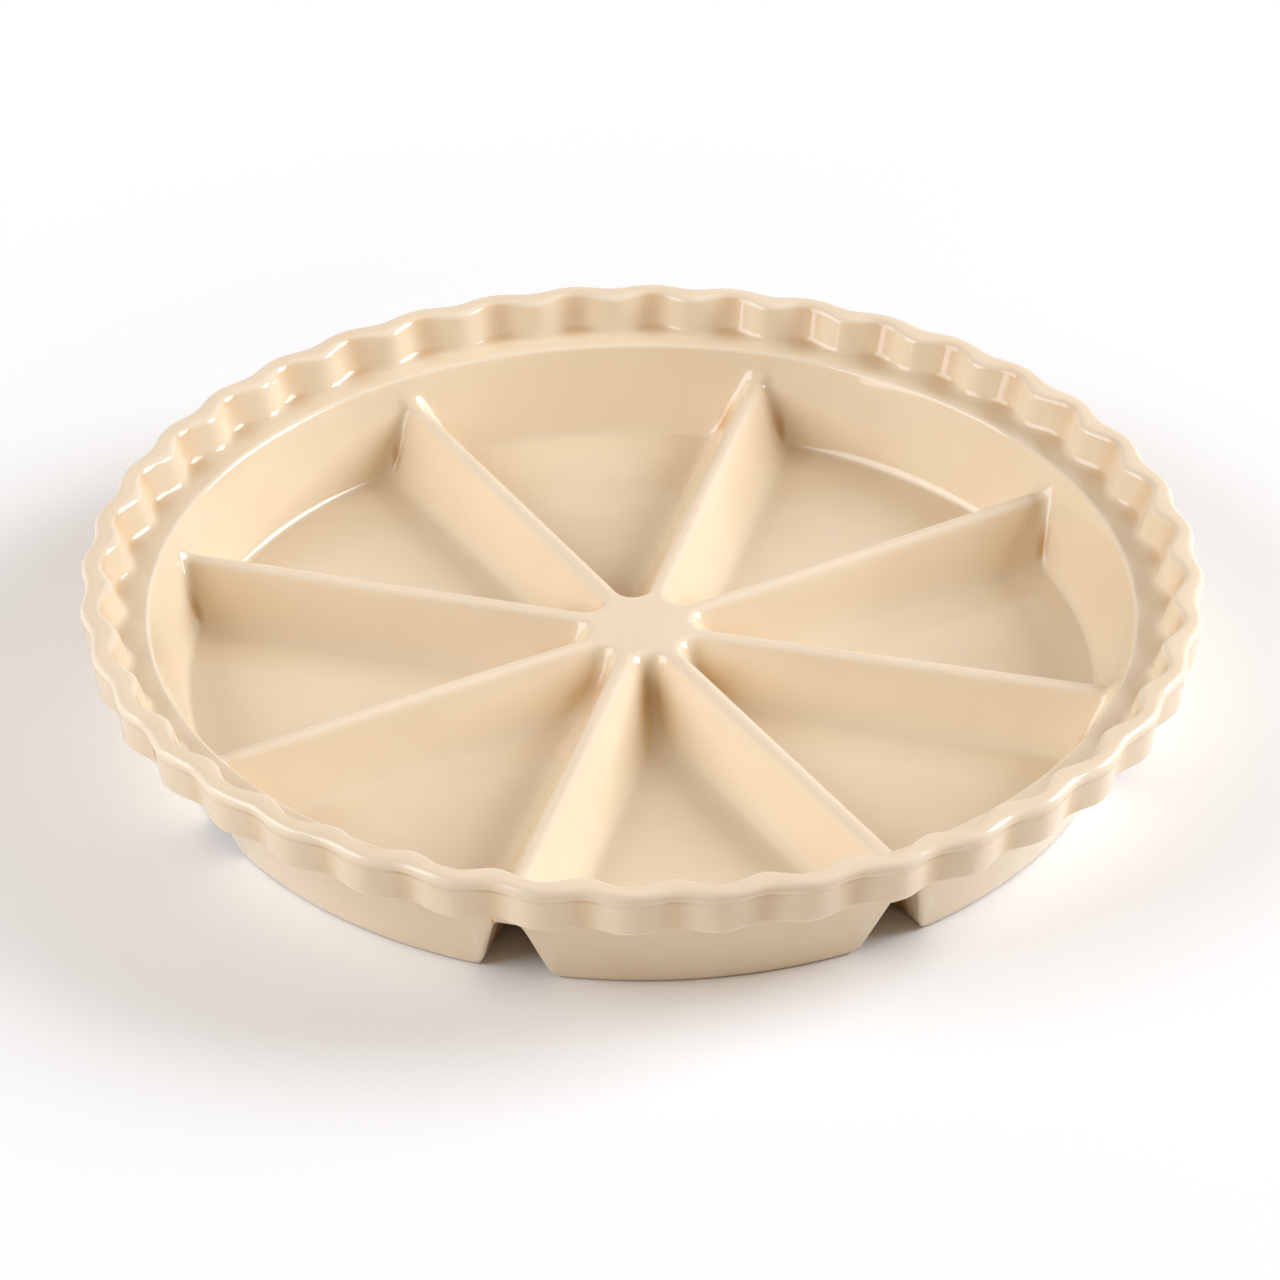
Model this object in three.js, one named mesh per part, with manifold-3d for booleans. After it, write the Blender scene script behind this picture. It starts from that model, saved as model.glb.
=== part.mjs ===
// Scone pan: a round glazed stoneware pan with eight wedge wells and a fluted rim.
// Millimetres, +Z up, the pan stands on z = 0 with its axis on Z.
import * as THREE from 'three';
import { mergeVertices } from 'three/addons/utils/BufferGeometryUtils.js';
import Module from 'manifold-3d';

const wasm = await Module();
wasm.setup();

// Heights, stacked from the table up
const RECESS_RISE = 3.7;      // hollow under each well floor
const FLOOR_THICK = 6.5;      // well floor
const WELL_DEPTH = 15.4;      // well floor to the flat top of the ridges
const ROOF_THICK = 5.4;       // clay over the hollow of each ridge
const COLLAR_RISE = 8.8;      // ridge top to the ledge
const BAND_RISE = 10.2;       // ledge to the top of the lip
const FLANGE_THICK = 3.6;     // ledge to the underside of the band

// Outer wall
const FOOT_RADIUS = 128.2;    // outer face carried down to the table
const WALL_DRAFT = 21;        // degrees from upright
const WALL_THICK = 7.4;       // measured level

// Ridges between the wells
const WELL_COUNT = 8;
const RIDGE_TOP = 8.4;        // width at the top, before its edges are rounded
const RIDGE_DRAFT = 21.5;     // degrees from upright
const RIDGE_WALL = 2.6;       // side wall at the roof of the hollow, measured level
const RIDGE_WALL_GAIN = 0.115; // how much thicker that wall gets per millimetre down
const RIDGE_ROUND = 4.5;      // rounding of the two top edges

// Wells
const NOSE_ROUND = 3.6;       // narrow end, next to the hub
const CORNER_ROUND = 5;       // where a ridge meets the outer wall
const FLOOR_ROUND = 4;        // where the sides meet the floor
const NOSE_WALL_ROUND = 5;    // outside of the narrow end, under the hub
const NOTCH_ROUND = 1.5;      // upright edges of the notches in the outer wall
const HUB_LAND = 2;           // hub beyond the narrow ends of the wells

// Feet
const FOOT_ROUND = 2;         // bottom edge of the outer wall
const NOTCH_FOOT_ROUND = 5;   // bottom edges of the notches and of the narrow end
const FOOT_WIDTH = 6;         // ring that stands on the table
const RECESS_DRAFT = 1;       // how much narrower the recess gets at its top

// Fluted band
const FLUTE_COUNT = 40;
const FLUTE_PHASE = 0.5;      // share of a flute from a ridge to the next crest
const SCOOP_SWING = 1.7;      // in and out from the mean, inside the band
const BULGE_SWING = 0.8;      // in and out from the mean, outside the band
const LEDGE_WIDTH = 8;
const LEDGE_ROUND = 1.6;      // inner edge of the ledge
const BAND_ROUND = 1.8;       // foot of the flutes on the ledge
const BAND_LEAN = 3.7;        // how far the inside of the band leans out
const LIP_WIDTH = 6.2;
const BAND_DRAFT = 2.4;       // how far the outside of the band draws in below the lip

// Facets
const FLUTE_STEPS = 6;
const ARC_STEPS = 10;
const ROUND_STEPS = 3;

// Derived heights
const floorZ = RECESS_RISE + FLOOR_THICK;
const crownZ = floorZ + WELL_DEPTH;
const roofZ = crownZ - ROOF_THICK;
const ledgeZ = crownZ + COLLAR_RISE;
const lipZ = ledgeZ + BAND_RISE;
const bandFootZ = ledgeZ - FLANGE_THICK;

const halfSector = Math.PI / WELL_COUNT;
const slope = (degrees) => Math.tan(THREE.MathUtils.degToRad(degrees));

// Level sizes of the walls at a height
const outerRadius = (z) => FOOT_RADIUS + slope(WALL_DRAFT) * z;
const innerRadius = (z) => outerRadius(z) - WALL_THICK;
const ridgeHalf = (z) => RIDGE_TOP / 2 + slope(RIDGE_DRAFT) * (crownZ - z);
const hollowHalf = (z) => ridgeHalf(z) - RIDGE_WALL - RIDGE_WALL_GAIN * (roofZ - z);

const glaze = new THREE.MeshStandardMaterial({ color: 0xecd8bc, roughness: 0.16, metalness: 0 });

// A wedge outline with its axis on +X: two sides at a set distance from the lines to the
// neighbouring ridges, an outer arc, and rounded ends. Every outline has as many points.
function wedgeOutline({ radius, offset, nose, corner }) {
  const points = [];
  const sine = Math.sin(halfSector);
  const cosine = Math.cos(halfSector);
  const arc = (cx, cy, r, from, to, steps, last) => {
    for (let i = 0; i < steps + (last ? 1 : 0); i += 1) {
      const a = from + ((to - from) * i) / steps;
      points.push([cx + r * Math.cos(a), cy + r * Math.sin(a)]);
    }
  };
  const sideAngle = Math.PI / 2 + halfSector;
  const noseX = (offset + nose) / sine;
  const along = Math.sqrt((radius - corner) ** 2 - (offset + corner) ** 2);
  const cornerX = sine * (offset + corner) + cosine * along;
  const cornerY = -cosine * (offset + corner) + sine * along;
  const reach = Math.atan2(cornerY, cornerX);
  arc(noseX, 0, nose, Math.PI, 2 * Math.PI - sideAngle, ROUND_STEPS, true);
  arc(cornerX, -cornerY, corner, -sideAngle, -reach, ROUND_STEPS, false);
  arc(0, 0, radius, -reach, reach, ARC_STEPS, false);
  arc(cornerX, cornerY, corner, reach, sideAngle, ROUND_STEPS, true);
  arc(noseX, 0, nose, sideAngle, Math.PI, ROUND_STEPS, false);
  return points;
}

const outlineAt = (sizes, z) => wedgeOutline(sizes).map(([x, y]) => [x, y, z]);

// The inside of a well at a height, drawn in by an inset
const insideSizes = (z, inset = 0) => ({
  radius: innerRadius(z) - Math.max(inset, 0),
  offset: ridgeHalf(z) + inset,
  nose: Math.max(NOSE_ROUND - inset, 1),
  corner: Math.max(CORNER_ROUND - inset, 1),
});

// The outside of a well at a height, drawn in at its outer wall and at its other sides
const outsideSizes = (z, wallInset = 0, sideInset = 0) => ({
  radius: outerRadius(z) - wallInset,
  offset: hollowHalf(z) + sideInset,
  nose: Math.max(NOSE_WALL_ROUND - sideInset, 1),
  corner: NOTCH_ROUND,
});

// How far a quarter round of a radius is drawn in at a height above its foot
const roundInset = (radius, z) => radius - Math.sqrt(radius ** 2 - Math.max(radius - z, 0) ** 2);

// A closed body from level loops of equal length, with a flat cap at both ends
function loftBody(loops) {
  const count = loops[0].length;
  const positions = [];
  const index = [];
  loops.forEach((loop) => loop.forEach((p) => positions.push(...p)));
  for (let k = 0; k + 1 < loops.length; k += 1) {
    for (let i = 0; i < count; i += 1) {
      const j = (i + 1) % count;
      const a = k * count + i;
      const b = k * count + j;
      const c = a + count;
      const d = b + count;
      index.push(a, b, d, a, d, c);
    }
  }
  const cap = (k, flip) => {
    const middle = positions.length / 3;
    const centre = [0, 0, 0];
    loops[k].forEach((p) => p.forEach((v, axis) => { centre[axis] += v / count; }));
    positions.push(...centre);
    for (let i = 0; i < count; i += 1) {
      const a = k * count + i;
      const b = k * count + ((i + 1) % count);
      if (flip) index.push(middle, b, a);
      else index.push(middle, a, b);
    }
  };
  cap(0, true);
  cap(loops.length - 1, false);
  return bodyGeometry(positions, index);
}

// A closed ring from a section that is swept right round the axis
function ringBody(sectionAt, steps, start) {
  const count = sectionAt(0).length;
  const positions = [];
  const index = [];
  for (let s = 0; s < steps; s += 1) {
    const angle = start + (2 * Math.PI * s) / steps;
    sectionAt(angle).forEach(([r, z]) => positions.push(r * Math.cos(angle), r * Math.sin(angle), z));
    const next = (s + 1) % steps;
    for (let i = 0; i < count; i += 1) {
      const j = (i + 1) % count;
      const a = s * count + i;
      const b = s * count + j;
      const c = next * count + i;
      const d = next * count + j;
      index.push(a, c, d, a, d, b);
    }
  }
  return bodyGeometry(positions, index);
}

// An indexed geometry that is turned to face out
function bodyGeometry(positions, index) {
  const at = (i) => new THREE.Vector3().fromArray(positions, 3 * i);
  let volume = 0;
  for (let t = 0; t < index.length; t += 3) {
    volume += at(index[t]).dot(at(index[t + 1]).cross(at(index[t + 2])));
  }
  if (volume < 0) index.reverse();
  const geometry = new THREE.BufferGeometry();
  geometry.setAttribute('position', new THREE.Float32BufferAttribute(positions, 3));
  geometry.setIndex(index);
  return geometry;
}

function toSolid(geometry) {
  const plain = geometry.clone();
  plain.deleteAttribute('normal');
  plain.deleteAttribute('uv');
  const welded = mergeVertices(plain, 1e-4);
  return new wasm.Manifold(new wasm.Mesh({
    numProp: 3,
    vertProperties: new Float32Array(welded.attributes.position.array),
    triVerts: new Uint32Array(welded.index.array),
  }));
}

function toGeometry(solid) {
  const mesh = solid.getMesh();
  const geometry = new THREE.BufferGeometry();
  geometry.setAttribute('position', new THREE.Float32BufferAttribute(mesh.vertProperties, 3));
  geometry.setIndex([...mesh.triVerts]);
  return geometry;
}

function named(name, geometry) {
  geometry.computeVertexNormals();
  const mesh = new THREE.Mesh(geometry, glaze);
  mesh.name = name;
  return mesh;
}

// One well below the roof of the ridges: foot, recess, outer wall, sides and floor
function wellGeometry() {
  const foot = (inset, z) => outlineAt(outsideSizes(0, FOOT_ROUND + inset, NOTCH_FOOT_ROUND + inset), z);
  const edge = (z) => outlineAt(
    outsideSizes(z, roundInset(FOOT_ROUND, z), roundInset(NOTCH_FOOT_ROUND, z)),
    z,
  );
  const fillet = FLOOR_ROUND * (1 - Math.SQRT1_2);
  const sideFoot = floorZ + FLOOR_ROUND;
  const loops = [
    foot(FOOT_WIDTH + RECESS_DRAFT, RECESS_RISE),
    foot(FOOT_WIDTH, 0),
    edge(0),
    edge(FOOT_ROUND * 0.4),
    edge(FOOT_ROUND),
    edge(NOTCH_FOOT_ROUND),
    outlineAt(outsideSizes(roofZ), roofZ),
    outlineAt(insideSizes(roofZ), roofZ),
    outlineAt(insideSizes(sideFoot), sideFoot),
    outlineAt(insideSizes(sideFoot, fillet), floorZ + fillet),
    outlineAt(insideSizes(sideFoot, FLOOR_ROUND), floorZ),
  ];
  return loftBody(loops);
}

// The space of one well where it passes the roof and the rounded tops of the ridges
function wellMouth() {
  const run = RIDGE_ROUND * Math.tan(Math.PI / 4 - THREE.MathUtils.degToRad(RIDGE_DRAFT) / 2);
  const drop = run * Math.cos(THREE.MathUtils.degToRad(RIDGE_DRAFT));
  const past = 1;
  return loftBody([
    outlineAt(insideSizes(roofZ - past), roofZ - past),
    outlineAt(insideSizes(crownZ - drop), crownZ - drop),
    outlineAt(insideSizes(crownZ, -run * 0.4), crownZ - drop * 0.3),
    outlineAt(insideSizes(crownZ, -run), crownZ),
    outlineAt(insideSizes(crownZ, -run), crownZ + past),
  ]);
}

const circleAt = (radius, z, count, turn) => Array.from({ length: count }, (_, i) => {
  const a = turn + (2 * Math.PI * i) / count;
  return [radius * Math.cos(a), radius * Math.sin(a), z];
});

// The hub and one ridge top, cut from the level slab that roofs the hollow ridges
function slabPieces() {
  const around = WELL_COUNT * ARC_STEPS;
  const past = 1;
  let slab = toSolid(loftBody([
    circleAt(outerRadius(roofZ), roofZ, around, 0),
    circleAt(outerRadius(crownZ), crownZ, around, 0),
  ]));
  const mouth = wellMouth();
  for (let k = 0; k < WELL_COUNT; k += 1) {
    slab = slab.subtract(toSolid(mouth.clone().rotateZ((2 * k + 1) * halfSector)));
  }
  const noseX = (ridgeHalf(roofZ) + NOSE_ROUND) / Math.sin(halfSector) - NOSE_ROUND;
  const hubReach = noseX + HUB_LAND;
  const core = toSolid(loftBody([
    circleAt(hubReach, roofZ - past, WELL_COUNT, halfSector),
    circleAt(hubReach, crownZ + past, WELL_COUNT, halfSector),
  ]));
  const far = outerRadius(crownZ) * 2;
  const sector = (z) => [
    [0, 0, z],
    [far * Math.cos(halfSector), -far * Math.sin(halfSector), z],
    [far * Math.cos(halfSector), far * Math.sin(halfSector), z],
  ];
  const wedge = toSolid(loftBody([sector(roofZ - past), sector(crownZ + past)]));
  return {
    hub: toGeometry(slab.intersect(core)),
    ridge: toGeometry(slab.subtract(core).intersect(wedge)),
  };
}

// Collar, ledge and fluted band in one ring that stands on the ridge tops' level
function rimGeometry() {
  const ledgeIn = innerRadius(ledgeZ);
  const bandIn = ledgeIn + LEDGE_WIDTH;
  const lipIn = bandIn + BAND_LEAN;
  const lipOut = lipIn + LIP_WIDTH;
  const bandOut = lipOut - BAND_DRAFT;
  const lipRound = LIP_WIDTH / 2;
  const lipMid = lipIn + lipRound;
  const bend = Math.SQRT1_2;
  // Each point of the section has its radius, its height and how far the flutes swing it
  const section = [
    [innerRadius(crownZ), crownZ, 0],
    [innerRadius(ledgeZ - LEDGE_ROUND), ledgeZ - LEDGE_ROUND, 0],
    [ledgeIn + LEDGE_ROUND * 0.2, ledgeZ - LEDGE_ROUND * 0.25, 0],
    [ledgeIn + LEDGE_ROUND, ledgeZ, 0],
    [bandIn - BAND_ROUND, ledgeZ, SCOOP_SWING * 0.6],
    [bandIn, ledgeZ + BAND_ROUND * 0.4, SCOOP_SWING * 0.9],
    [bandIn + BAND_ROUND * 0.5, ledgeZ + BAND_ROUND * 1.3, SCOOP_SWING],
    [lipIn, lipZ - lipRound, SCOOP_SWING],
    [lipMid - lipRound * bend, lipZ - lipRound * (1 - bend), SCOOP_SWING],
    [lipMid, lipZ, (SCOOP_SWING + BULGE_SWING) / 2],
    [lipMid + lipRound * bend, lipZ - lipRound * (1 - bend), BULGE_SWING],
    [lipOut, lipZ - lipRound, BULGE_SWING],
    [bandOut, bandFootZ + BAND_ROUND, BULGE_SWING],
    [bandOut - BAND_ROUND, bandFootZ, BULGE_SWING * 0.8],
    [outerRadius(bandFootZ), bandFootZ, 0],
    [outerRadius(crownZ), crownZ, 0],
  ];
  const turn = (FLUTE_PHASE * 2 * Math.PI) / FLUTE_COUNT;
  const sectionAt = (angle) => {
    const wave = Math.cos(FLUTE_COUNT * (angle - turn));
    return section.map(([r, z, swing]) => [r + swing * wave, z]);
  };
  return ringBody(sectionAt, FLUTE_COUNT * FLUTE_STEPS, turn);
}

const pan = new THREE.Group();
pan.name = 'scone_pan';
const slabParts = slabPieces();
const well = wellGeometry();
pan.add(named('fluted_rim', rimGeometry()));
pan.add(named('hub', slabParts.hub));
for (let k = 0; k < WELL_COUNT; k += 1) {
  const ridgeTurn = 2 * k * halfSector;
  pan.add(named(`ridge_${k + 1}`, slabParts.ridge.clone().rotateZ(ridgeTurn)));
  pan.add(named(`well_${k + 1}`, well.clone().rotateZ(ridgeTurn + halfSector)));
}

export default pan;
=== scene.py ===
# %% [markdown]
# # A glazed stoneware scone pan
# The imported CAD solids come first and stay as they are: they say how big the pan is and where it
# stands. Everything that shows is made here, in the same frame, in metres with +Z up.

# %% Load the frame
import math
import bpy
import numpy as np
from mathutils import Matrix, Vector


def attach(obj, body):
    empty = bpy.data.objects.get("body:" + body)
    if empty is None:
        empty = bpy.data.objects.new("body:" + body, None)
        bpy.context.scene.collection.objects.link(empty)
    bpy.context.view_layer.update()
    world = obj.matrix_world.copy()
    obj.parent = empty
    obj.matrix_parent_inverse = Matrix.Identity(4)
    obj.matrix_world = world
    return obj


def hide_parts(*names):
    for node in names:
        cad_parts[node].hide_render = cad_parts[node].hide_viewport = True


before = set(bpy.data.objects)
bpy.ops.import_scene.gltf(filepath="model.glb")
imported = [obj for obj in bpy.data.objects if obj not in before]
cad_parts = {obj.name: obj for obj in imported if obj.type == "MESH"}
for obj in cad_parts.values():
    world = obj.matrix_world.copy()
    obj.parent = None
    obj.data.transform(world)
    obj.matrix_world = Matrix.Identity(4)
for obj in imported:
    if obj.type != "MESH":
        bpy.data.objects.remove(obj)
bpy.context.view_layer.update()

# %% [markdown]
# ## How the pan is drawn
# A real pan like this is one fired casting: there are no seams between its rim, ridges and wells.
# It could be cut from solids with booleans and then bevelled, but bevels break up where a ridge runs
# into the wall. Seen from above, every part of the inside shows, and seen from below every part of
# the outside does. So the pan is drawn as rings of points: from the middle of the hub outwards over
# the top, over the lip, and back underneath to the middle. Inside and underneath, a short formula
# gives each point's height, with soft corners like those of clay under glaze. The rim follows a
# section. The pan's lengths are in millimetres, and the finished skin is in metres.

# %% Leaning wall of the pan
MM = 0.001
WELLS = 8
HALF_SECTOR = math.pi / WELLS
FOOT_RADIUS = 128.2
WALL_THICK = 7.4
WALL_LEAN = math.radians(21.0)
WALL_SLOPE = math.tan(WALL_LEAN)


def wall_outside(z):
    return FOOT_RADIUS + WALL_SLOPE * z


def wall_inside(z):
    return wall_outside(z) - WALL_THICK


print("wall radius at the table, outside and inside, mm:",
      round(wall_outside(0.0), 2), round(wall_inside(0.0), 2))

# %% [markdown]
# ## Soft corners
# Where two surfaces meet, a plain minimum or maximum leaves a sharp line. A soft one eases from one
# surface to the other over a set height, which is just what a fillet does. Each call also gives back
# how deep in the corner a point is, from 0 to 1. That number is used again for the colour: glaze runs
# thin off outer edges and is paler there, and inner corners get a tan that is partly gathered glaze
# and partly painted shade.

# %% Soft minimum and maximum
def soft_min(a, b, ease):
    deep = np.clip(1.0 - np.abs(a - b) / ease, 0.0, 1.0)
    return np.minimum(a, b) - ease * deep * deep / 4.0, deep


def soft_max(a, b, ease):
    low, deep = soft_min(-a, -b, ease)
    return -low, deep


check_height, check_depth = soft_max(np.array([1.0]), np.array([1.0]), 2.0)
print("two equal heights of 1 eased over 2 give", float(check_height[0]))
print("depth in the corner there:", float(check_depth[0]))

# %% [markdown]
# ## The inside: wells, ridges and hub
# Eight wedge wells lie round a flat hub, with a narrow ridge between each two. They could be cut out
# with eight wedges, but then every fillet has to be bevelled by itself. Here each point has a radius
# r and a distance d from the middle line of the nearest ridge, and the first question is how far it
# lies past the top edge of that ridge. In the narrow end of a well, where two ridges meet, that edge
# is an arc, so the distance is measured from the arc's middle, and the nose of the well keeps the
# same slope all round.

# %% Distance past the edge of a ridge
RIDGE_HALF = 2.0
NOSE_ROUND = 5.5
NOSE_MIDDLE = (RIDGE_HALF + NOSE_ROUND) / math.sin(HALF_SECTOR)
CREASE_EASE = 4.0


def other_ridge(r, d):
    angle = np.arcsin(np.clip(d / r, -1.0, 1.0))
    return r * np.sin(2.0 * HALF_SECTOR - angle)


def past_the_edge(r, d):
    angle = np.arcsin(np.clip(d / r, -1.0, 1.0))
    ahead = r * np.cos(HALF_SECTOR - angle) - NOSE_MIDDLE
    aside = r * np.sin(HALF_SECTOR - angle)
    in_nose = r * np.cos(angle) < NOSE_MIDDLE * math.cos(HALF_SECTOR)
    plain, _ = soft_min(d - RIDGE_HALF, other_ridge(r, d) - RIDGE_HALF, CREASE_EASE)
    nose = np.where(in_nose, NOSE_ROUND - np.hypot(ahead, aside), plain)
    return np.minimum(plain, nose)


print("a well's nose turns round a point this far from the centre, mm:", round(NOSE_MIDDLE, 2))

# %% [markdown]
# A ridge turns over in an arc, with next to no flat on top, and then runs straight down its slope.
# Glaze runs thin on the round, so the formula also says how near a point is to its middle.

# %% Height of a ridge
RIDGE_ROUND = 3.0
RIDGE_DRAFT = math.radians(25.5)
RIDGE_SLOPE = math.tan(RIDGE_DRAFT)
ROUND_RUN = RIDGE_ROUND * math.tan(math.pi / 4.0 - RIDGE_DRAFT / 2.0)
THIN_MIDDLE = 0.45 * RIDGE_ROUND
THIN_HALF = 0.55 * RIDGE_ROUND


def ridge_height(past_edge, top):
    across = past_edge + ROUND_RUN
    arc = top - RIDGE_ROUND + np.sqrt(np.clip(RIDGE_ROUND ** 2 - across ** 2, 0.0, None))
    side = top - past_edge / RIDGE_SLOPE
    height = np.where(across < RIDGE_ROUND * math.cos(RIDGE_DRAFT), arc, side)
    on_round = np.clip(1.0 - np.abs(across - THIN_MIDDLE) / THIN_HALF, 0.0, 1.0)
    return np.where(across < 0.0, top, height), on_round


print("flat top of a ridge to each side of its middle, mm:", round(RIDGE_HALF - ROUND_RUN, 2))

# %% [markdown]
# The ridges, the wall and the floor are joined by taking the highest of them with soft corners. That
# gives the fillets, and the ridge tops, which rise a little on the way out, curl up by themselves
# where they meet the wall. The fillet at the foot of the wall is tighter than those along the ridges.
# Some way below the ridge tops a tan is painted, in the corners between ridge and wall and in the
# narrow end of each well: partly gathered glaze and partly painted shade.

# %% Height of the inside
FLOOR_Z = 10.2
CROWN_Z = 26.15
CROWN_RISE = 0.006
CORNER_EASE = 7.5
FLOOR_EASE = 6.4
WALL_FOOT_EASE = 3.0
POOL_SHADE_START = 3.0
POOL_SHADE_RUN = 8.0
POOL_SHADE_SPREAD = 0.6
POOL_SHADE_FOOT_FADE = 4.0
NOSE_POOL_SHADE = 0.65
NOSE_POOL_SHADE_REACH = 36.0
NOSE_POOL_SHADE_FADE = 17.0


def inside_height(r, d):
    top = CROWN_Z + CROWN_RISE * r
    ridge, thin = ridge_height(past_the_edge(r, d), top)
    wall = CROWN_Z + (r - wall_inside(CROWN_Z)) / WALL_SLOPE
    sides, corner = soft_max(ridge, wall, CORNER_EASE)
    by_wall = np.clip(0.5 + (wall - ridge) / CORNER_EASE, 0.0, 1.0)
    ease = FLOOR_EASE + (WALL_FOOT_EASE - FLOOR_EASE) * by_wall
    height, _ = soft_max(sides, np.full_like(r, FLOOR_Z), ease)
    # Painted shade: a tan mark low in the ridge-wall corners and the well noses, partly gathered
    # glaze.
    below_top = np.clip((top - height - POOL_SHADE_START) / POOL_SHADE_RUN, 0.0, 1.0)
    above_floor = np.clip(0.5 + (ridge - FLOOR_Z) / POOL_SHADE_FOOT_FADE, 0.0, 1.0)
    in_nose = NOSE_POOL_SHADE * np.clip((NOSE_POOL_SHADE_REACH - r) / NOSE_POOL_SHADE_FADE, 0.0, 1.0)
    pool_shade = below_top * np.maximum(above_floor * corner ** POOL_SHADE_SPREAD, in_nose)
    return height, thin * (1.0 - corner), pool_shade


sample_r = np.array([80.0, 80.0, 20.0])
sample_d = np.array([0.0, 25.0, 7.0])
print("ridge top, floor and nose heights in mm:", np.round(inside_height(sample_r, sample_d)[0], 2))

# %% [markdown]
# ## The underside: feet, hollow ridges and notches
# Under each ridge the clay is hollow, so that no part is very thick and the pan fires evenly. Each
# hollow runs out through the outer wall as a notch. It could be cut with a boolean, but then its edge
# has to be rounded by hand. As a formula it is a roof with sloping sides. Inwards from the wall it
# narrows a little, to leave enough clay beside it.

# %% Hollow under a ridge
ROOF_Z = 20.2
HOLLOW_HALF = 3.73
HOLLOW_SLOPE = 0.279
HOLLOW_FOOT = HOLLOW_HALF + HOLLOW_SLOPE * ROOF_Z
HOLLOW_TAPER = 1.8
TAPER_START = 126.0
TAPER_RUN = 16.0


def hollow_taper(r):
    inward = np.clip((TAPER_START - r) / TAPER_RUN, 0.0, 1.0)
    return HOLLOW_TAPER * inward * inward * (3.0 - 2.0 * inward)


print("half width of a notch at its roof and at the table, mm:",
      round(HOLLOW_HALF, 2), round(HOLLOW_FOOT, 2))

# %% [markdown]
# The underside doesn't show in the picture, so it is made as such pans usually are: each well stands
# on a foot ring with a shallow recess inside it. The foot is well rounded along the hollows. The
# recess keeps its distance from the hollows and from the wall, and its side is steep.

# %% Foot corner and recess
FOOT_CORNER = 5.0
CORNER_LEAN = math.atan(HOLLOW_SLOPE)
CORNER_RUN = FOOT_CORNER / math.tan(math.pi / 4.0 + CORNER_LEAN / 2.0)
RECESS_EDGE = 20.9
RECESS_RADIUS = 119.5
RECESS_Z = 3.7
RECESS_STEEPNESS = 3.7
RECESS_PLAN_EASE = 4.0
RECESS_FOOT_EASE = 2.0
RECESS_ROOF_EASE = 3.0
RECESS_FILLET_END = -0.4


def foot_corner(past):
    on_arc = (past > -CORNER_RUN * math.sin(CORNER_LEAN)) & (past < CORNER_RUN)
    drop = np.clip(FOOT_CORNER ** 2 - (past - CORNER_RUN) ** 2, 0.0, None)
    height = np.where(on_arc, FOOT_CORNER - np.sqrt(drop), 0.0)
    deep = np.where(on_arc, 1.0 - past / CORNER_RUN, 0.0)
    return height, deep.clip(0.0, 1.0)


def recess_height(r, near):
    inset, _ = soft_min(near - RECESS_EDGE, RECESS_RADIUS - r, RECESS_PLAN_EASE)
    side, _ = soft_max(inset * RECESS_STEEPNESS, np.zeros_like(r), RECESS_FOOT_EASE)
    side = np.where(inset < RECESS_FILLET_END, 0.0, side)
    height, _ = soft_min(side, np.full_like(r, RECESS_Z), RECESS_ROOF_EASE)
    return np.maximum(height, 0.0)


print("recess height beside a hollow and in the middle of a well, mm:",
      np.round(recess_height(np.array([80.0, 80.0]), np.array([15.0, 30.0])), 2))

# %% [markdown]
# The outer wall, the hollow and the table are joined with the same soft corners as the inside. The
# notch edges stay fairly crisp, and glaze is thin on them. The flat foot rings and the hollows, up
# to just inside the wall, are bare clay; in the hollows its dark brown also paints their shade.

# %% Height of the underside
ARCH_EASE = 4.0
NOTCH_EASE = 4.0
FOOT_EASE = 2.0
HOLLOW_NOSE_EASE = 4.0
THIN_BELOW_ROOF = 1.0
BARE_FOOT_Z = 0.25
BARE_SHADE_REACH = 128.0
BARE_SHADE_FADE = 6.0


def bare_clay_and_shade_share(r, aside, height):
    on_foot = np.clip(1.0 - height / BARE_FOOT_Z, 0.0, 1.0)
    inside_wall = np.clip((BARE_SHADE_REACH - r) / BARE_SHADE_FADE, 0.0, 1.0)
    # Painted shade: the hollows, up to just inside the wall, take the dark clay, partly real bare
    # clay.
    shaded_bare_hollow = (aside < HOLLOW_FOOT + FOOT_CORNER) * inside_wall
    return np.maximum(on_foot, shaded_bare_hollow)


def underside_height(r, d):
    near, _ = soft_min(d, other_ridge(r, d), HOLLOW_NOSE_EASE)
    aside = near + hollow_taper(r)
    side = ROOF_Z - (aside - HOLLOW_HALF) / HOLLOW_SLOPE
    hollow, arch = soft_min(side, np.full_like(r, ROOF_Z), ARCH_EASE)
    wall = (r - FOOT_RADIUS) / WALL_SLOPE
    body, notch = soft_max(hollow, wall, NOTCH_EASE)
    height, foot = soft_max(body, np.zeros_like(r), FOOT_EASE)
    corner, on_corner = foot_corner(aside - HOLLOW_FOOT)
    height = np.maximum(height, np.maximum(corner, recess_height(r, near)))
    on_notch = notch * (height < ROOF_Z - THIN_BELOW_ROOF)
    thin = np.maximum(on_notch, np.maximum(foot, on_corner))
    # The roof corners of a hollow get the same tan mark: painted shade.
    return height, thin, arch * arch, bare_clay_and_shade_share(r, aside, height)


print("hollow, foot and recess heights in mm:",
      np.round(underside_height(np.full(3, 80.0), np.array([0.0, 17.0, 30.0]))[0], 2))

# %% [markdown]
# ## The rim section
# The rim is easiest to think of as a section: up the collar, over the edge of the ledge, across the
# ledge, up the inside of the band, round the lip with a soft bead outside it, down the band and back
# under to the wall. A Screw modifier could turn it into a plain ring, but the flutes come and go
# along the section. So it is written as corner points, each with its own rounding and its own share
# of the flutes, and arcs replace the corners.

# %% Arcs in place of corners
ARC_POINTS = 6
POOL_SHADE_IN_RIM = 0.25


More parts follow.
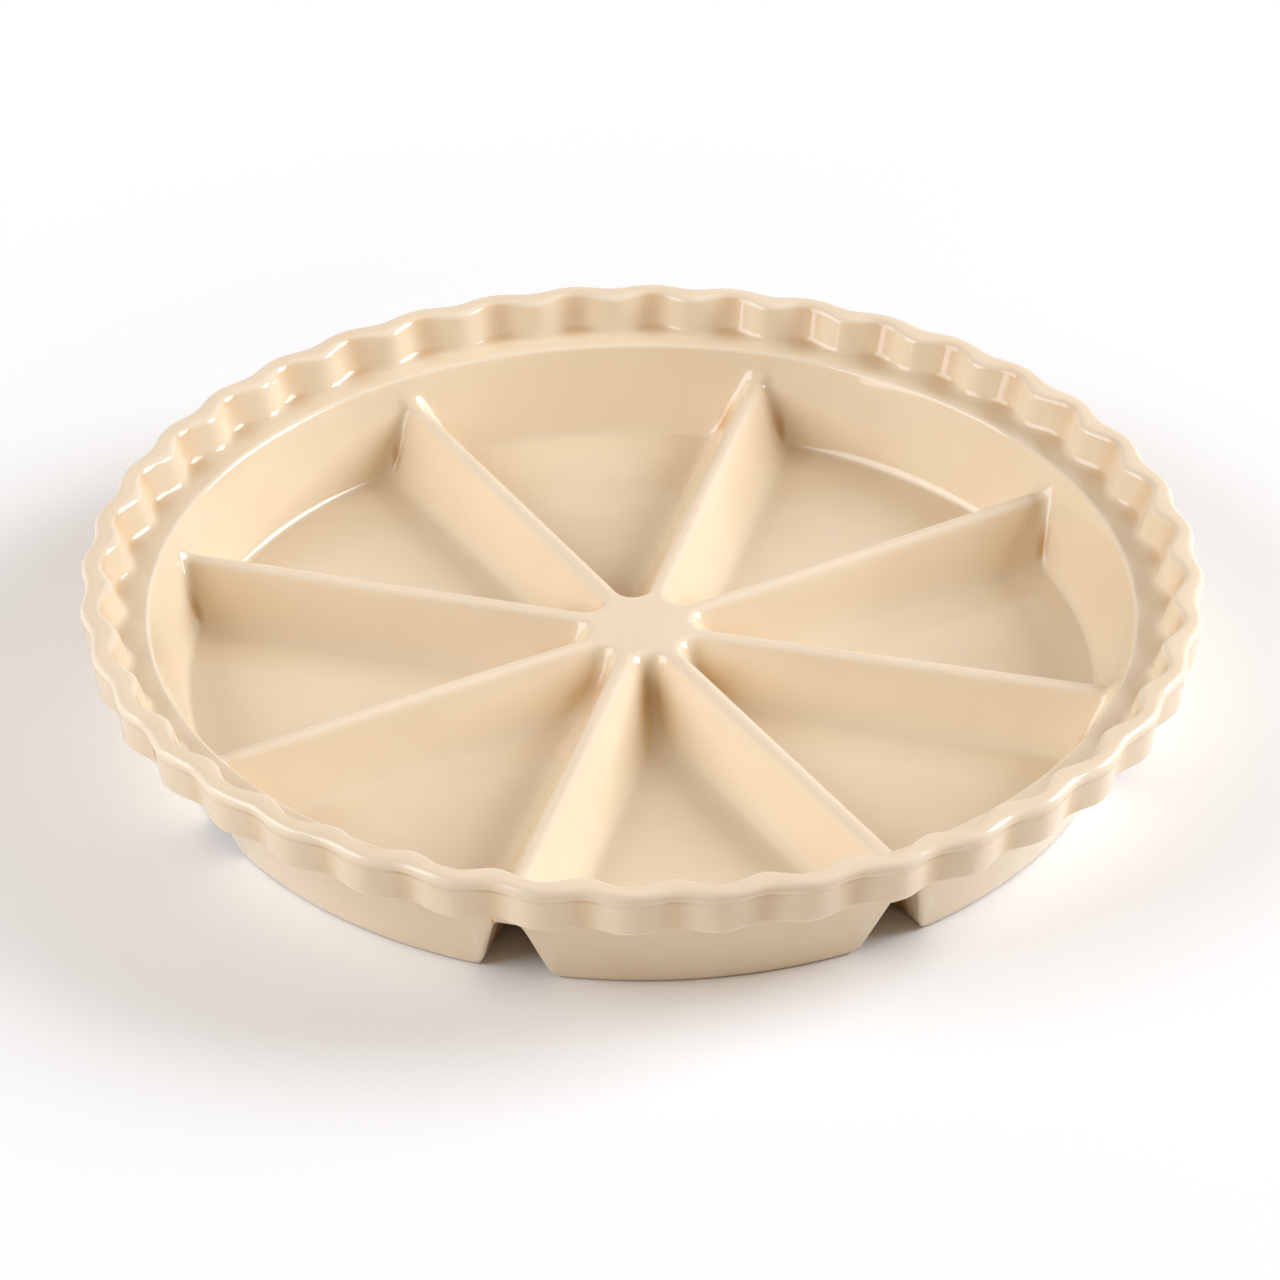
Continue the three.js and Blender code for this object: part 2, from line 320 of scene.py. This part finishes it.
def corner_arc(before, here, after):
    radius, height, rounding, share = here
    corner = Vector((radius, height))
    back = (Vector(before[:2]) - corner).normalized()
    ahead = (Vector(after[:2]) - corner).normalized()
    half_angle = back.angle(ahead) / 2.0
    run = rounding / math.tan(half_angle)
    middle = corner + (back + ahead).normalized() * (rounding / math.sin(half_angle))
    start = corner + back * run - middle
    stop = corner + ahead * run - middle
    is_edge = back.x * ahead.y - back.y * ahead.x > 0.0
    rows = []
    for i in range(ARC_POINTS):
        part = i / (ARC_POINTS - 1)
        spot = middle + start.slerp(stop, part) * rounding
        deep = math.sin(math.pi * part)
        # Inner corners of the rim get the tan mark: painted shade, partly gathered glaze.
        thin, pool_shade = (deep, 0.0) if is_edge else (0.0, POOL_SHADE_IN_RIM * deep)
        rows.append((spot.x, spot.y, share, thin, pool_shade))
    return rows


def rounded_section(corners):
    first, last = corners[0], corners[-1]
    rows = [(first[0], first[1], first[3], 0.0, 0.0)]
    for before, here, after in zip(corners, corners[1:], corners[2:]):
        rows += corner_arc(before, here, after)
    rows.append((last[0], last[1], last[3], 0.0, 0.0))
    return rows


print("each corner of the rim becomes", ARC_POINTS, "points")

# %% Corners of the rim
COLLAR_Z = 30.0
LEDGE_Z = 34.4
LIP_Z = 44.6
BEAD_Z = 42.0
BAND_TOP_Z = 40.6
BAND_FOOT_Z = 30.8
WALL_TOP_Z = 31.0
WALL_JOIN_Z = 23.0
FLUTE_FOOT = 141.9
LIP_INSIDE = 145.6
LIP_OUTSIDE = 151.7
BEAD_FOOT = 151.5
BAND_TOP = 150.8
BAND_FOOT = 149.5

# Each corner: radius, height, rounding, share of the flutes
rim_corners = [
    (wall_inside(COLLAR_Z), COLLAR_Z, 0.0, 0.0),
    (wall_inside(LEDGE_Z), LEDGE_Z, 1.7, 0.0),
    (FLUTE_FOOT, LEDGE_Z, 2.8, 0.85),
    (LIP_INSIDE, LIP_Z, 2.4, 1.0),
    (LIP_OUTSIDE, LIP_Z, 2.0, 1.0),
    (BEAD_FOOT, BEAD_Z, 1.6, 1.1),
    (BAND_TOP, BAND_TOP_Z, 4.0, 1.6),
    (BAND_FOOT, BAND_FOOT_Z, 1.6, 1.8),
    (wall_outside(WALL_TOP_Z), BAND_FOOT_Z, 1.6, 0.0),
    (wall_outside(WALL_JOIN_Z), WALL_JOIN_Z, 0.0, 0.0),
]
rim_rows = rounded_section(rim_corners)
print("rim section has", len(rim_rows), "points")

# %% [markdown]
# ## Flutes
# The band is pinched all round into flutes, as on a pie dish. Inside they are round scoops with
# narrow ribs between, and outside they show as broad soft bulges. A Displace modifier could push
# them out, but a wave round the rim keeps both sides in step: a cosine with a little of its double
# frequency, which flattens the scoops and sharpens the ribs.

# %% Wave of the flutes
FLUTES = 40
FLUTE_PHASE = math.pi / FLUTES
SCOOP_SWING = 1.75
SCOOP_PINCH = 0.06
BULGE_SWING = 0.8
BULGE_PINCH = 0.04


def flute_wave(angle, share, swing, pinch):
    turn = FLUTES * (angle - FLUTE_PHASE)
    return share * swing * (np.cos(turn) - pinch * np.cos(2.0 * turn))


print("one flute is", round(2.0 * math.pi * LIP_OUTSIDE / FLUTES, 1), "mm long on the lip")

# %% [markdown]
# ## Where the points go
# Points are spent where the shape bends. A subdivided grid would need far more of them for the same
# edges. Across half a well they are counted from the middle of a ridge to the middle of the well. On
# top they crowd over the ridge's round and the floor fillet. Near the hub there is less room, so the
# whole row closes up towards the centre.

# %% Columns on top of half a well
COLUMNS = 36
RIDGE_FOOT = 15.4
LEAST_FLOOR = 4.0

# Stops: middle, flat top, round, side and the two parts of the floor fillet
TOP_COLUMN_STOPS = [0.0, 0.8, 5.6, 8.3, 12.4, RIDGE_FOOT]
TOP_COLUMN_STEPS = [1, 8, 2, 4, 2]


def spread(stops, steps):
    parts = [np.linspace(a, b, n, endpoint=False) for a, b, n in zip(stops, stops[1:], steps)]
    return np.concatenate(parts + [np.array([stops[-1]])])


def full_row(stops, steps):
    return spread(stops, steps + [COLUMNS - sum(steps)])


def top_columns(r):
    room = r * math.sin(HALF_SECTOR)
    reach = max(room, RIDGE_FOOT + LEAST_FLOOR)
    return full_row(TOP_COLUMN_STOPS + [reach], TOP_COLUMN_STEPS) * (room / reach)


print("columns over half a well:", len(top_columns(100.0)))

# %% [markdown]
# Underneath, the columns follow the edge of the notch, which runs slantwise down the wall, and the
# edge of the recess, so that both stay clean.

# %% Columns under half a well
BEFORE_EDGE = 0.8
PAST_EDGE = 3.4
LEAST_FOOT = 5.0

# Stops on the hollow's roof, each with the room that it leaves before the edge
ROOF_STOPS = [(2.2, 2.8), (5.0, 1.8)]
# Stops at the recess edge, each with the most that it takes of a short row's rest
RECESS_STOPS = [(20.3, 0.75), (22.3, 0.88)]
UNDER_COLUMN_STEPS = [3, 4, 4, 6, 3, 4]


def under_columns(r):
    room = r * math.sin(HALF_SECTOR)
    height = min(max((r - FOOT_RADIUS) / WALL_SLOPE, 0.0), ROOF_Z)
    edge = HOLLOW_HALF + HOLLOW_SLOPE * (ROOF_Z - height) - hollow_taper(r)
    past = edge + PAST_EDGE
    reach = max(room, edge + LEAST_FOOT)
    rest = reach - past
    on_roof = [min(stop, edge - gap) for stop, gap in ROOF_STOPS]
    at_recess = [past + min(stop - past, most * rest) for stop, most in RECESS_STOPS]
    stops = [0.0] + on_roof + [edge - BEFORE_EDGE, past] + at_recess + [reach]
    return full_row(stops, UNDER_COLUMN_STEPS) * (room / reach)


print("columns under half a well:", len(under_columns(100.0)))

# %% [markdown]
# ## Build the rings
# Each ring is one row of points right round the pan. The rows over the top, round the rim and under
# the pan follow each other, so the skin is closed, and only a small flat disc is left at each end.
# Half a well is worked out, mirrored and repeated, because all the wells are alike.

# %% Rings over the inside
# Stops on the way out, close together at the noses, the foot of the wall and the collar
TOP_RING_STOPS = [10.0, 13.0, 16.0, 36.0, 52.0, 108.0, 116.0, 122.0, 126.0, 131.3]
TOP_RING_STEPS = [3, 4, 15, 5, 6, 3, 5, 8, 6]
rings = []
glaze_and_shade_marks = []


def around(row_d, r):
    angle = np.arcsin(np.clip(row_d / r, -1.0, 1.0))
    one_well = np.concatenate([angle, (2.0 * HALF_SECTOR - angle)[::-1][1:-1]])
    return np.concatenate([one_well + 2.0 * HALF_SECTOR * k for k in range(WELLS)])


def mirror(values):
    one_well = np.concatenate([values, values[::-1][1:-1]])
    return np.tile(one_well, WELLS)


def add_ring(angle, radius, height, thin, pool_shade, bare_and_shade):
    full = np.ones_like(angle)
    rings.append(np.stack([radius * np.cos(angle), radius * np.sin(angle), height * full], axis=1))
    glaze_and_shade_marks.append(np.stack([thin * full, pool_shade * full, bare_and_shade * full], axis=1))


for r in spread(TOP_RING_STOPS, TOP_RING_STEPS):
    d = top_columns(r)
    height, thin, pool_shade = inside_height(np.full_like(d, r), d)
    add_ring(around(d, r), r, mirror(height), mirror(thin), mirror(pool_shade), 0.0)
print("rings over the inside:", len(rings))

# %% [markdown]
# The rim rows take their columns from the top at the lip and ease over to the underside's columns on
# the way down, so no step shows between them. The flutes move each rim point in or out: over the lip
# the swing of the scoops blends into the smaller one of the bulges. Glaze is thin on the ribs, and
# the scoops get a tan that is partly gathered glaze and partly painted shade.

# %% Rings round the rim
SWING_BLEND = 6.2
LIP_TURN_ROWS = 4
BAND_SHARE = 0.5
THIN_ON_RIBS = 0.35
POOL_SHADE_IN_SCOOPS = 0.45
lip_row = max(range(len(rim_rows)), key=lambda i: rim_rows[i][1])
rows_below_lip = len(rim_rows) - 1 - lip_row

for i, (r, z, share, thin, pool_shade) in enumerate(rim_rows):
    part_down = max(0.0, (i - lip_row) / rows_below_lip)
    d = top_columns(r) * (1.0 - part_down) + under_columns(r) * part_down
    angle = around(d, r)
    on_lip = i <= lip_row + LIP_TURN_ROWS
    across = min(max((r - LIP_INSIDE) / SWING_BLEND, 0.0), 1.0) if on_lip else 1.0
    within = flute_wave(angle, share, SCOOP_SWING, SCOOP_PINCH)
    without = flute_wave(angle, share, BULGE_SWING, BULGE_PINCH)
    wave = within * (1.0 - across) + without * across
    scoop = np.clip(wave / SCOOP_SWING, -1.0, 1.0) * (1.0 - 2.0 * across)
    rib_thin = np.clip(thin - THIN_ON_RIBS * scoop * (share > BAND_SHARE), 0.0, 1.0)
    # The scoops get the tan mark too: painted shade, partly gathered glaze.
    scoop_pool_shade = np.clip(pool_shade + POOL_SHADE_IN_SCOOPS * np.clip(scoop, 0.0, 1.0), 0.0, 1.0)
    add_ring(angle, r + wave, z, rib_thin, scoop_pool_shade, 0.0)
print("rings with the rim:", len(rings))

# %% Rings under the pan
# Stops on the way in, close together at the foot, the recess edge and the middle
UNDER_RING_STOPS = [136.5, 135.0, 130.0, 125.5, 121.0, 117.0, 66.0, 54.0, 33.0, 18.0, 10.0]
UNDER_RING_STEPS = [4, 4, 6, 3, 5, 5, 9, 6, 12, 5]

for r in spread(UNDER_RING_STOPS, UNDER_RING_STEPS):
    d = under_columns(r)
    height, thin, pool_shade, bare_and_shade = underside_height(np.full_like(d, r), d)
    add_ring(around(d, r), r, mirror(height), mirror(thin), mirror(pool_shade), mirror(bare_and_shade))
print("rings in all:", len(rings), "with", len(rings[0]), "points each")

# %% [markdown]
# ## Skin over the rings
# Four-sided faces join each ring to the next, and one flat face closes each end. The mesh is made
# straight from the points, in metres. The glaze marks, with the painted shade among them, go along as
# attributes on the points, where the material can read them.

# %% Faces between the rings
points = np.concatenate(rings) * MM
count = len(rings[0])
faces = []
for k in range(len(rings) - 1):
    for i in range(count):
        j = (i + 1) % count
        faces.append((k * count + i, (k + 1) * count + i, (k + 1) * count + j, k * count + j))
last = (len(rings) - 1) * count
faces.append(tuple(range(count)))
faces.append(tuple(last + i for i in reversed(range(count))))
print("faces of the skin:", len(faces))

# %% Pan mesh with its glaze and painted-shade marks
pan_mesh = bpy.data.meshes.new("glazed_pan")
pan_mesh.from_pydata(points.tolist(), [], faces)
pan_mesh.update()
marks = np.concatenate(glaze_and_shade_marks)
for column, name in enumerate(("glaze_thin", "pooled_glaze_and_shade", "bare_clay_and_hollow_shade")):
    layer = pan_mesh.attributes.new(name, "FLOAT", "POINT")
    layer.data.foreach_set("value", marks[:, column].astype(np.float32))
pan_mesh.shade_smooth()
pan = bpy.data.objects.new("glazed_pan", pan_mesh)
bpy.context.scene.collection.objects.link(pan)
print("pan skin:", len(pan_mesh.vertices), "points,", len(pan_mesh.polygons), "faces")

# %% [markdown]
# ## Cream glaze
# The glaze is a glossy, opaque cream. Where it runs thin over edges it is paler. In corners, noses
# and scoops it turns a warmer tan, which is partly gathered glaze and partly painted shade. The foot
# rings are bare brown clay, because glaze there would stick to the kiln shelf, and the deep hollows
# under the ridges are bare too; the clay is kept dark, so in the hollows it also paints their shade.
# A painted image could show all this, but marks that were made with the shape follow it exactly and
# stay clean close up. A slow noise keeps the cream from being even.

# %% Helpers for the glaze nodes
glaze = bpy.data.materials.new("cream_glaze")
glaze.use_nodes = True
nodes = glaze.node_tree.nodes
links = glaze.node_tree.links


def mark(name):
    node = nodes.new("ShaderNodeAttribute")
    node.attribute_name = name
    return node.outputs["Fac"]


def noise(scale, detail):
    pan_place = nodes.new("ShaderNodeTexCoord")
    node = nodes.new("ShaderNodeTexNoise")
    node.inputs["Scale"].default_value = scale
    node.inputs["Detail"].default_value = detail
    links.new(pan_place.outputs["Object"], node.inputs["Vector"])
    return node.outputs["Fac"]


def ramp(value, low, high, to_low, to_high):
    node = nodes.new("ShaderNodeMapRange")
    node.interpolation_type = "SMOOTHSTEP"
    links.new(value, node.inputs["Value"])
    node.inputs["From Min"].default_value = low
    node.inputs["From Max"].default_value = high
    node.inputs["To Min"].default_value = to_low
    node.inputs["To Max"].default_value = to_high
    return node.outputs["Result"]


def mix_colour(amount, first, second):
    node = nodes.new("ShaderNodeMix")
    node.data_type = "RGBA"
    links.new(amount, node.inputs["Factor"])
    for value, socket in ((first, node.inputs["A"]), (second, node.inputs["B"])):
        if isinstance(value, tuple):
            socket.default_value = value
        else:
            links.new(value, socket)
    return node.outputs["Result"]


print("new material:", glaze.name)

# %% Colour of the glaze
def from_srgb(red, green, blue):
    def linear(v):
        v = v / 255.0
        return v / 12.92 if v <= 0.04045 else ((v + 0.055) / 1.055) ** 2.4
    return (linear(red), linear(green), linear(blue), 1.0)


CREAM = from_srgb(236, 217, 187)
LIGHT_CREAM = from_srgb(240, 222, 192)
POOLED_GLAZE_AND_SHADE_TAN = from_srgb(205, 155, 80)
THIN_CREAM = from_srgb(243, 231, 208)
BROWN_CLAY_AND_SHADE = from_srgb(150, 108, 68)
CLOUD_SCALE = 24.0
CLOUD_DETAIL = 2.0
CLOUD_LOW = 0.35
CLOUD_HIGH = 0.65
POOL_AND_SHADE_STRENGTH = 0.85
THIN_START = 0.15
THIN_STRENGTH = 0.6

shader = nodes["Principled BSDF"]
cloud = ramp(noise(CLOUD_SCALE, CLOUD_DETAIL), CLOUD_LOW, CLOUD_HIGH, 0.0, 1.0)
# Painted shade: tan in corners, noses and scoops, partly gathered glaze.
pool_and_shade = ramp(mark("pooled_glaze_and_shade"), 0.0, 1.0, 0.0, POOL_AND_SHADE_STRENGTH)
thinned = ramp(mark("glaze_thin"), THIN_START, 1.0, 0.0, THIN_STRENGTH)
colour = mix_colour(cloud, CREAM, LIGHT_CREAM)
colour = mix_colour(pool_and_shade, colour, POOLED_GLAZE_AND_SHADE_TAN)
colour = mix_colour(thinned, colour, THIN_CREAM)
# Bare clay on the feet; in the hollows the dark clay also paints their shade.
colour = mix_colour(mark("bare_clay_and_hollow_shade"), colour, BROWN_CLAY_AND_SHADE)
links.new(colour, shader.inputs["Base Color"])
print("glaze colour nodes:", len(nodes))

# %% [markdown]
# A fired glaze is a coat of glass, so its index of refraction (IOR) is near that of glass, and its
# roughness is low, with a noise to vary it a little. A finer noise gives the slight ripple of the
# surface as a bump, because it is far too shallow to be worth any points. Bare clay is matt.

# %% Gloss and ripple of the glaze
GLASS_IOR = 1.47
GLOSS_SCALE = 60.0
GLOSS_DETAIL = 3.0
GLOSS_LOW = 0.3
GLOSS_HIGH = 0.7
GLOSS_SHARP = 0.06
GLOSS_SOFT = 0.10
CLAY_ROUGHNESS = 0.75
RIPPLE_SCALE = 90.0
RIPPLE_DETAIL = 2.0
RIPPLE_STRENGTH = 0.04
RIPPLE_HEIGHT = 0.002

shader.inputs["IOR"].default_value = GLASS_IOR
gloss = ramp(noise(GLOSS_SCALE, GLOSS_DETAIL), GLOSS_LOW, GLOSS_HIGH, GLOSS_SHARP, GLOSS_SOFT)
rough = nodes.new("ShaderNodeMix")
rough.data_type = "FLOAT"
links.new(mark("bare_clay_and_hollow_shade"), rough.inputs["Factor"])
links.new(gloss, rough.inputs["A"])
rough.inputs["B"].default_value = CLAY_ROUGHNESS
links.new(rough.outputs["Result"], shader.inputs["Roughness"])
ripple = nodes.new("ShaderNodeBump")
ripple.inputs["Strength"].default_value = RIPPLE_STRENGTH
ripple.inputs["Distance"].default_value = RIPPLE_HEIGHT
links.new(noise(RIPPLE_SCALE, RIPPLE_DETAIL), ripple.inputs["Height"])
links.new(ripple.outputs["Normal"], shader.inputs["Normal"])
pan_mesh.materials.append(glaze)
print("glaze nodes in all:", len(nodes))

# %% [markdown]
# ## Tie the pan to its solids
# The pan has no joints, so it rides on the one body. It stands for every region of the casting.

# %% Ride on the frame
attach(pan, "root")
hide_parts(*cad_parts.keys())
print("pan stands for", len(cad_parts), "solids")

# %% [markdown]
# ## Floor
# The pan stands on a plain white paper sweep, which could be a curved sheet. A flat floor is enough
# where it ends in the same white as the room. The Light Path node tells what is seen, straight or in
# a reflection, from what only lights the pan: the paper that is seen is nearly white, so little but
# the pan's shadow shows on it, and the paper that throws light back at the pan is a little darker.

# %% Paper of the floor
FLOOR_WIDTH = 12.0
PAPER_ROUGHNESS = 0.9
PAPER_UNSEEN = (0.85, 0.86, 0.88, 1.0)
PAPER_SEEN = (0.96, 0.98, 1.0, 1.0)


def seen_rays(tree):
    rays = tree.nodes.new("ShaderNodeLightPath")
    seen = rays.outputs["Is Camera Ray"]
    for kind in ("Is Glossy Ray", "Is Transmission Ray"):
        either = tree.nodes.new("ShaderNodeMath")
        either.operation = "MAXIMUM"
        tree.links.new(seen, either.inputs[0])
        tree.links.new(rays.outputs[kind], either.inputs[1])
        seen = either.outputs["Value"]
    return seen


bpy.ops.mesh.primitive_plane_add(size=FLOOR_WIDTH, location=(0.0, 0.0, 0.0))
floor = bpy.context.object
floor.name = "studio_floor"
paper = bpy.data.materials.new("white_paper")
paper.use_nodes = True
paper_nodes = paper.node_tree.nodes
paper_links = paper.node_tree.links
matt = paper_nodes["Principled BSDF"]
matt.inputs["Roughness"].default_value = PAPER_ROUGHNESS
paper_seen = seen_rays(paper.node_tree)
tone = paper_nodes.new("ShaderNodeMix")
tone.data_type = "RGBA"
tone.inputs["A"].default_value = PAPER_UNSEEN
tone.inputs["B"].default_value = PAPER_SEEN
paper_links.new(paper_seen, tone.inputs["Factor"])
paper_links.new(tone.outputs["Result"], matt.inputs["Base Color"])
print("floor is", round(floor.dimensions.x, 2), "m wide")

# %% [markdown]
# Away from the pan the paper fades to plain white, so that the floor meets the white room without a
# line. The distance from the pan's middle drives the fade, and it too holds only for what is seen.

# %% Fade to white away from the pan
FADE_START = 0.14
FADE_END = 0.34

floor_place = paper_nodes.new("ShaderNodeTexCoord")
away = paper_nodes.new("ShaderNodeVectorMath")
away.operation = "LENGTH"
paper_links.new(floor_place.outputs["Object"], away.inputs[0])
fade = paper_nodes.new("ShaderNodeMapRange")
fade.interpolation_type = "SMOOTHSTEP"
fade.inputs["From Min"].default_value = FADE_START
fade.inputs["From Max"].default_value = FADE_END
paper_links.new(away.outputs["Value"], fade.inputs["Value"])
seen_fade = paper_nodes.new("ShaderNodeMath")
seen_fade.operation = "MULTIPLY"
paper_links.new(paper_seen, seen_fade.inputs[0])
paper_links.new(fade.outputs["Result"], seen_fade.inputs[1])
plain_white = paper_nodes.new("ShaderNodeEmission")
plain_white.inputs["Strength"].default_value = 1.0
blend = paper_nodes.new("ShaderNodeMixShader")
paper_links.new(seen_fade.outputs["Value"], blend.inputs[0])
paper_links.new(matt.outputs["BSDF"], blend.inputs[1])
paper_links.new(plain_white.outputs["Emission"], blend.inputs[2])
paper_links.new(blend.outputs["Shader"], paper_nodes["Material Output"].inputs["Surface"])
floor.data.materials.append(paper)
print("floor fades to white from", FADE_START, "to", FADE_END, "m")

# %% [markdown]
# ## Room and lamps
# The room looks white, but the light that it gives is a weak, warm fill, like light from the walls of
# a room. A low, broad lamp on the right models the ridges and draws the thin highlights, and a larger
# and weaker one on the left lifts the sides that face away from it. Both are slightly cool, to
# balance the warm fill. A picture of a studio wrapped round the scene could light it too, but two
# lamps are easier to set one by one.

# %% Room
ROOM_FILL = (0.31, 0.22, 0.12, 1.0)
ROOM_SEEN = (1.0, 1.0, 1.0, 1.0)

scene = bpy.context.scene
scene.view_settings.view_transform = "Standard"
world = bpy.data.worlds.new("pale_studio")
world.use_nodes = True
scene.world = world
sky = world.node_tree.nodes["Background"]
room_tone = world.node_tree.nodes.new("ShaderNodeMix")
room_tone.data_type = "RGBA"
room_tone.inputs["A"].default_value = ROOM_FILL
room_tone.inputs["B"].default_value = ROOM_SEEN
world.node_tree.links.new(seen_rays(world.node_tree), room_tone.inputs["Factor"])
world.node_tree.links.new(room_tone.outputs["Result"], sky.inputs["Color"])
sky.inputs["Strength"].default_value = 1.0
print("room:", world.name)

# %% Lamps
PHOTO_TURN = math.radians(14.73)
LAMP_COLOUR = (0.94, 1.0, 1.12)


def soft_lamp(name, azimuth, elevation, distance, width, depth, power):
    a = math.radians(azimuth) + PHOTO_TURN
    e = math.radians(elevation)
    lamp = bpy.data.lights.new(name, "AREA")
    lamp.shape = "RECTANGLE"
    lamp.size = width
    lamp.size_y = depth
    lamp.energy = power
    lamp.color = LAMP_COLOUR
    holder = bpy.data.objects.new(name, lamp)
    spot = Vector((math.cos(a) * math.cos(e), math.sin(a) * math.cos(e), math.sin(e))) * distance
    holder.location = spot
    holder.rotation_euler = (-spot).to_track_quat("-Z", "Y").to_euler()
    scene.collection.objects.link(holder)
    print(name, "at", [round(v, 2) for v in spot])


soft_lamp("right_light", azimuth=11.5, elevation=27.0, distance=1.8, width=1.0, depth=1.0, power=34.0)
soft_lamp("left_light", azimuth=197.0, elevation=31.0, distance=1.8, width=1.4, depth=1.2, power=23.5)

# %% [markdown]
# ## Camera
# The camera looks down at the pan from in front with a long lens. It could be placed by eye, but its
# place and lens were worked out from circles and ridge lines that show in the picture, so the wells
# line up with it. The pan stands turned a little, and here the camera is turned round it instead.
# The place of the pan's middle, as the camera sees it, is in millimetres.

# %% Camera
PHOTO_PIXELS = 1280.0
FOCAL_PIXELS = 6229.0
SENSOR_WIDTH = 36.0
CAMERA_TILT = math.radians(33.643)
PAN_RIGHT = 0.53
PAN_DOWN = 17.24
PAN_AHEAD = 1714.0
FAR_CLIP = 50.0

camera_data = bpy.data.cameras.new("photo_camera")
camera_data.sensor_fit = "HORIZONTAL"
camera_data.sensor_width = SENSOR_WIDTH
camera_data.lens = FOCAL_PIXELS / PHOTO_PIXELS * SENSOR_WIDTH
camera_data.clip_end = FAR_CLIP
camera = bpy.data.objects.new("photo_camera", camera_data)
right = Vector((1.0, 0.0, 0.0))
down = Vector((0.0, -math.sin(CAMERA_TILT), -math.cos(CAMERA_TILT)))
ahead = Vector((0.0, math.cos(CAMERA_TILT), -math.sin(CAMERA_TILT)))
place = -(right * PAN_RIGHT + down * PAN_DOWN + ahead * PAN_AHEAD) * MM
facing = Matrix((right, -down, -ahead)).transposed()
turn = Matrix.Rotation(PHOTO_TURN, 4, "Z")
camera.matrix_world = turn @ Matrix.Translation(place) @ facing.to_4x4()
scene.collection.objects.link(camera)
scene.camera = camera
print("camera at", [round(v, 3) for v in camera.matrix_world.translation])
print("lens in mm:", round(camera_data.lens, 1))

# %% [markdown]
# ## Last update
# The view layer is brought up to date. The finished pan may be no bigger than its solids.

# %% Update the view layer
bpy.context.view_layer.update()
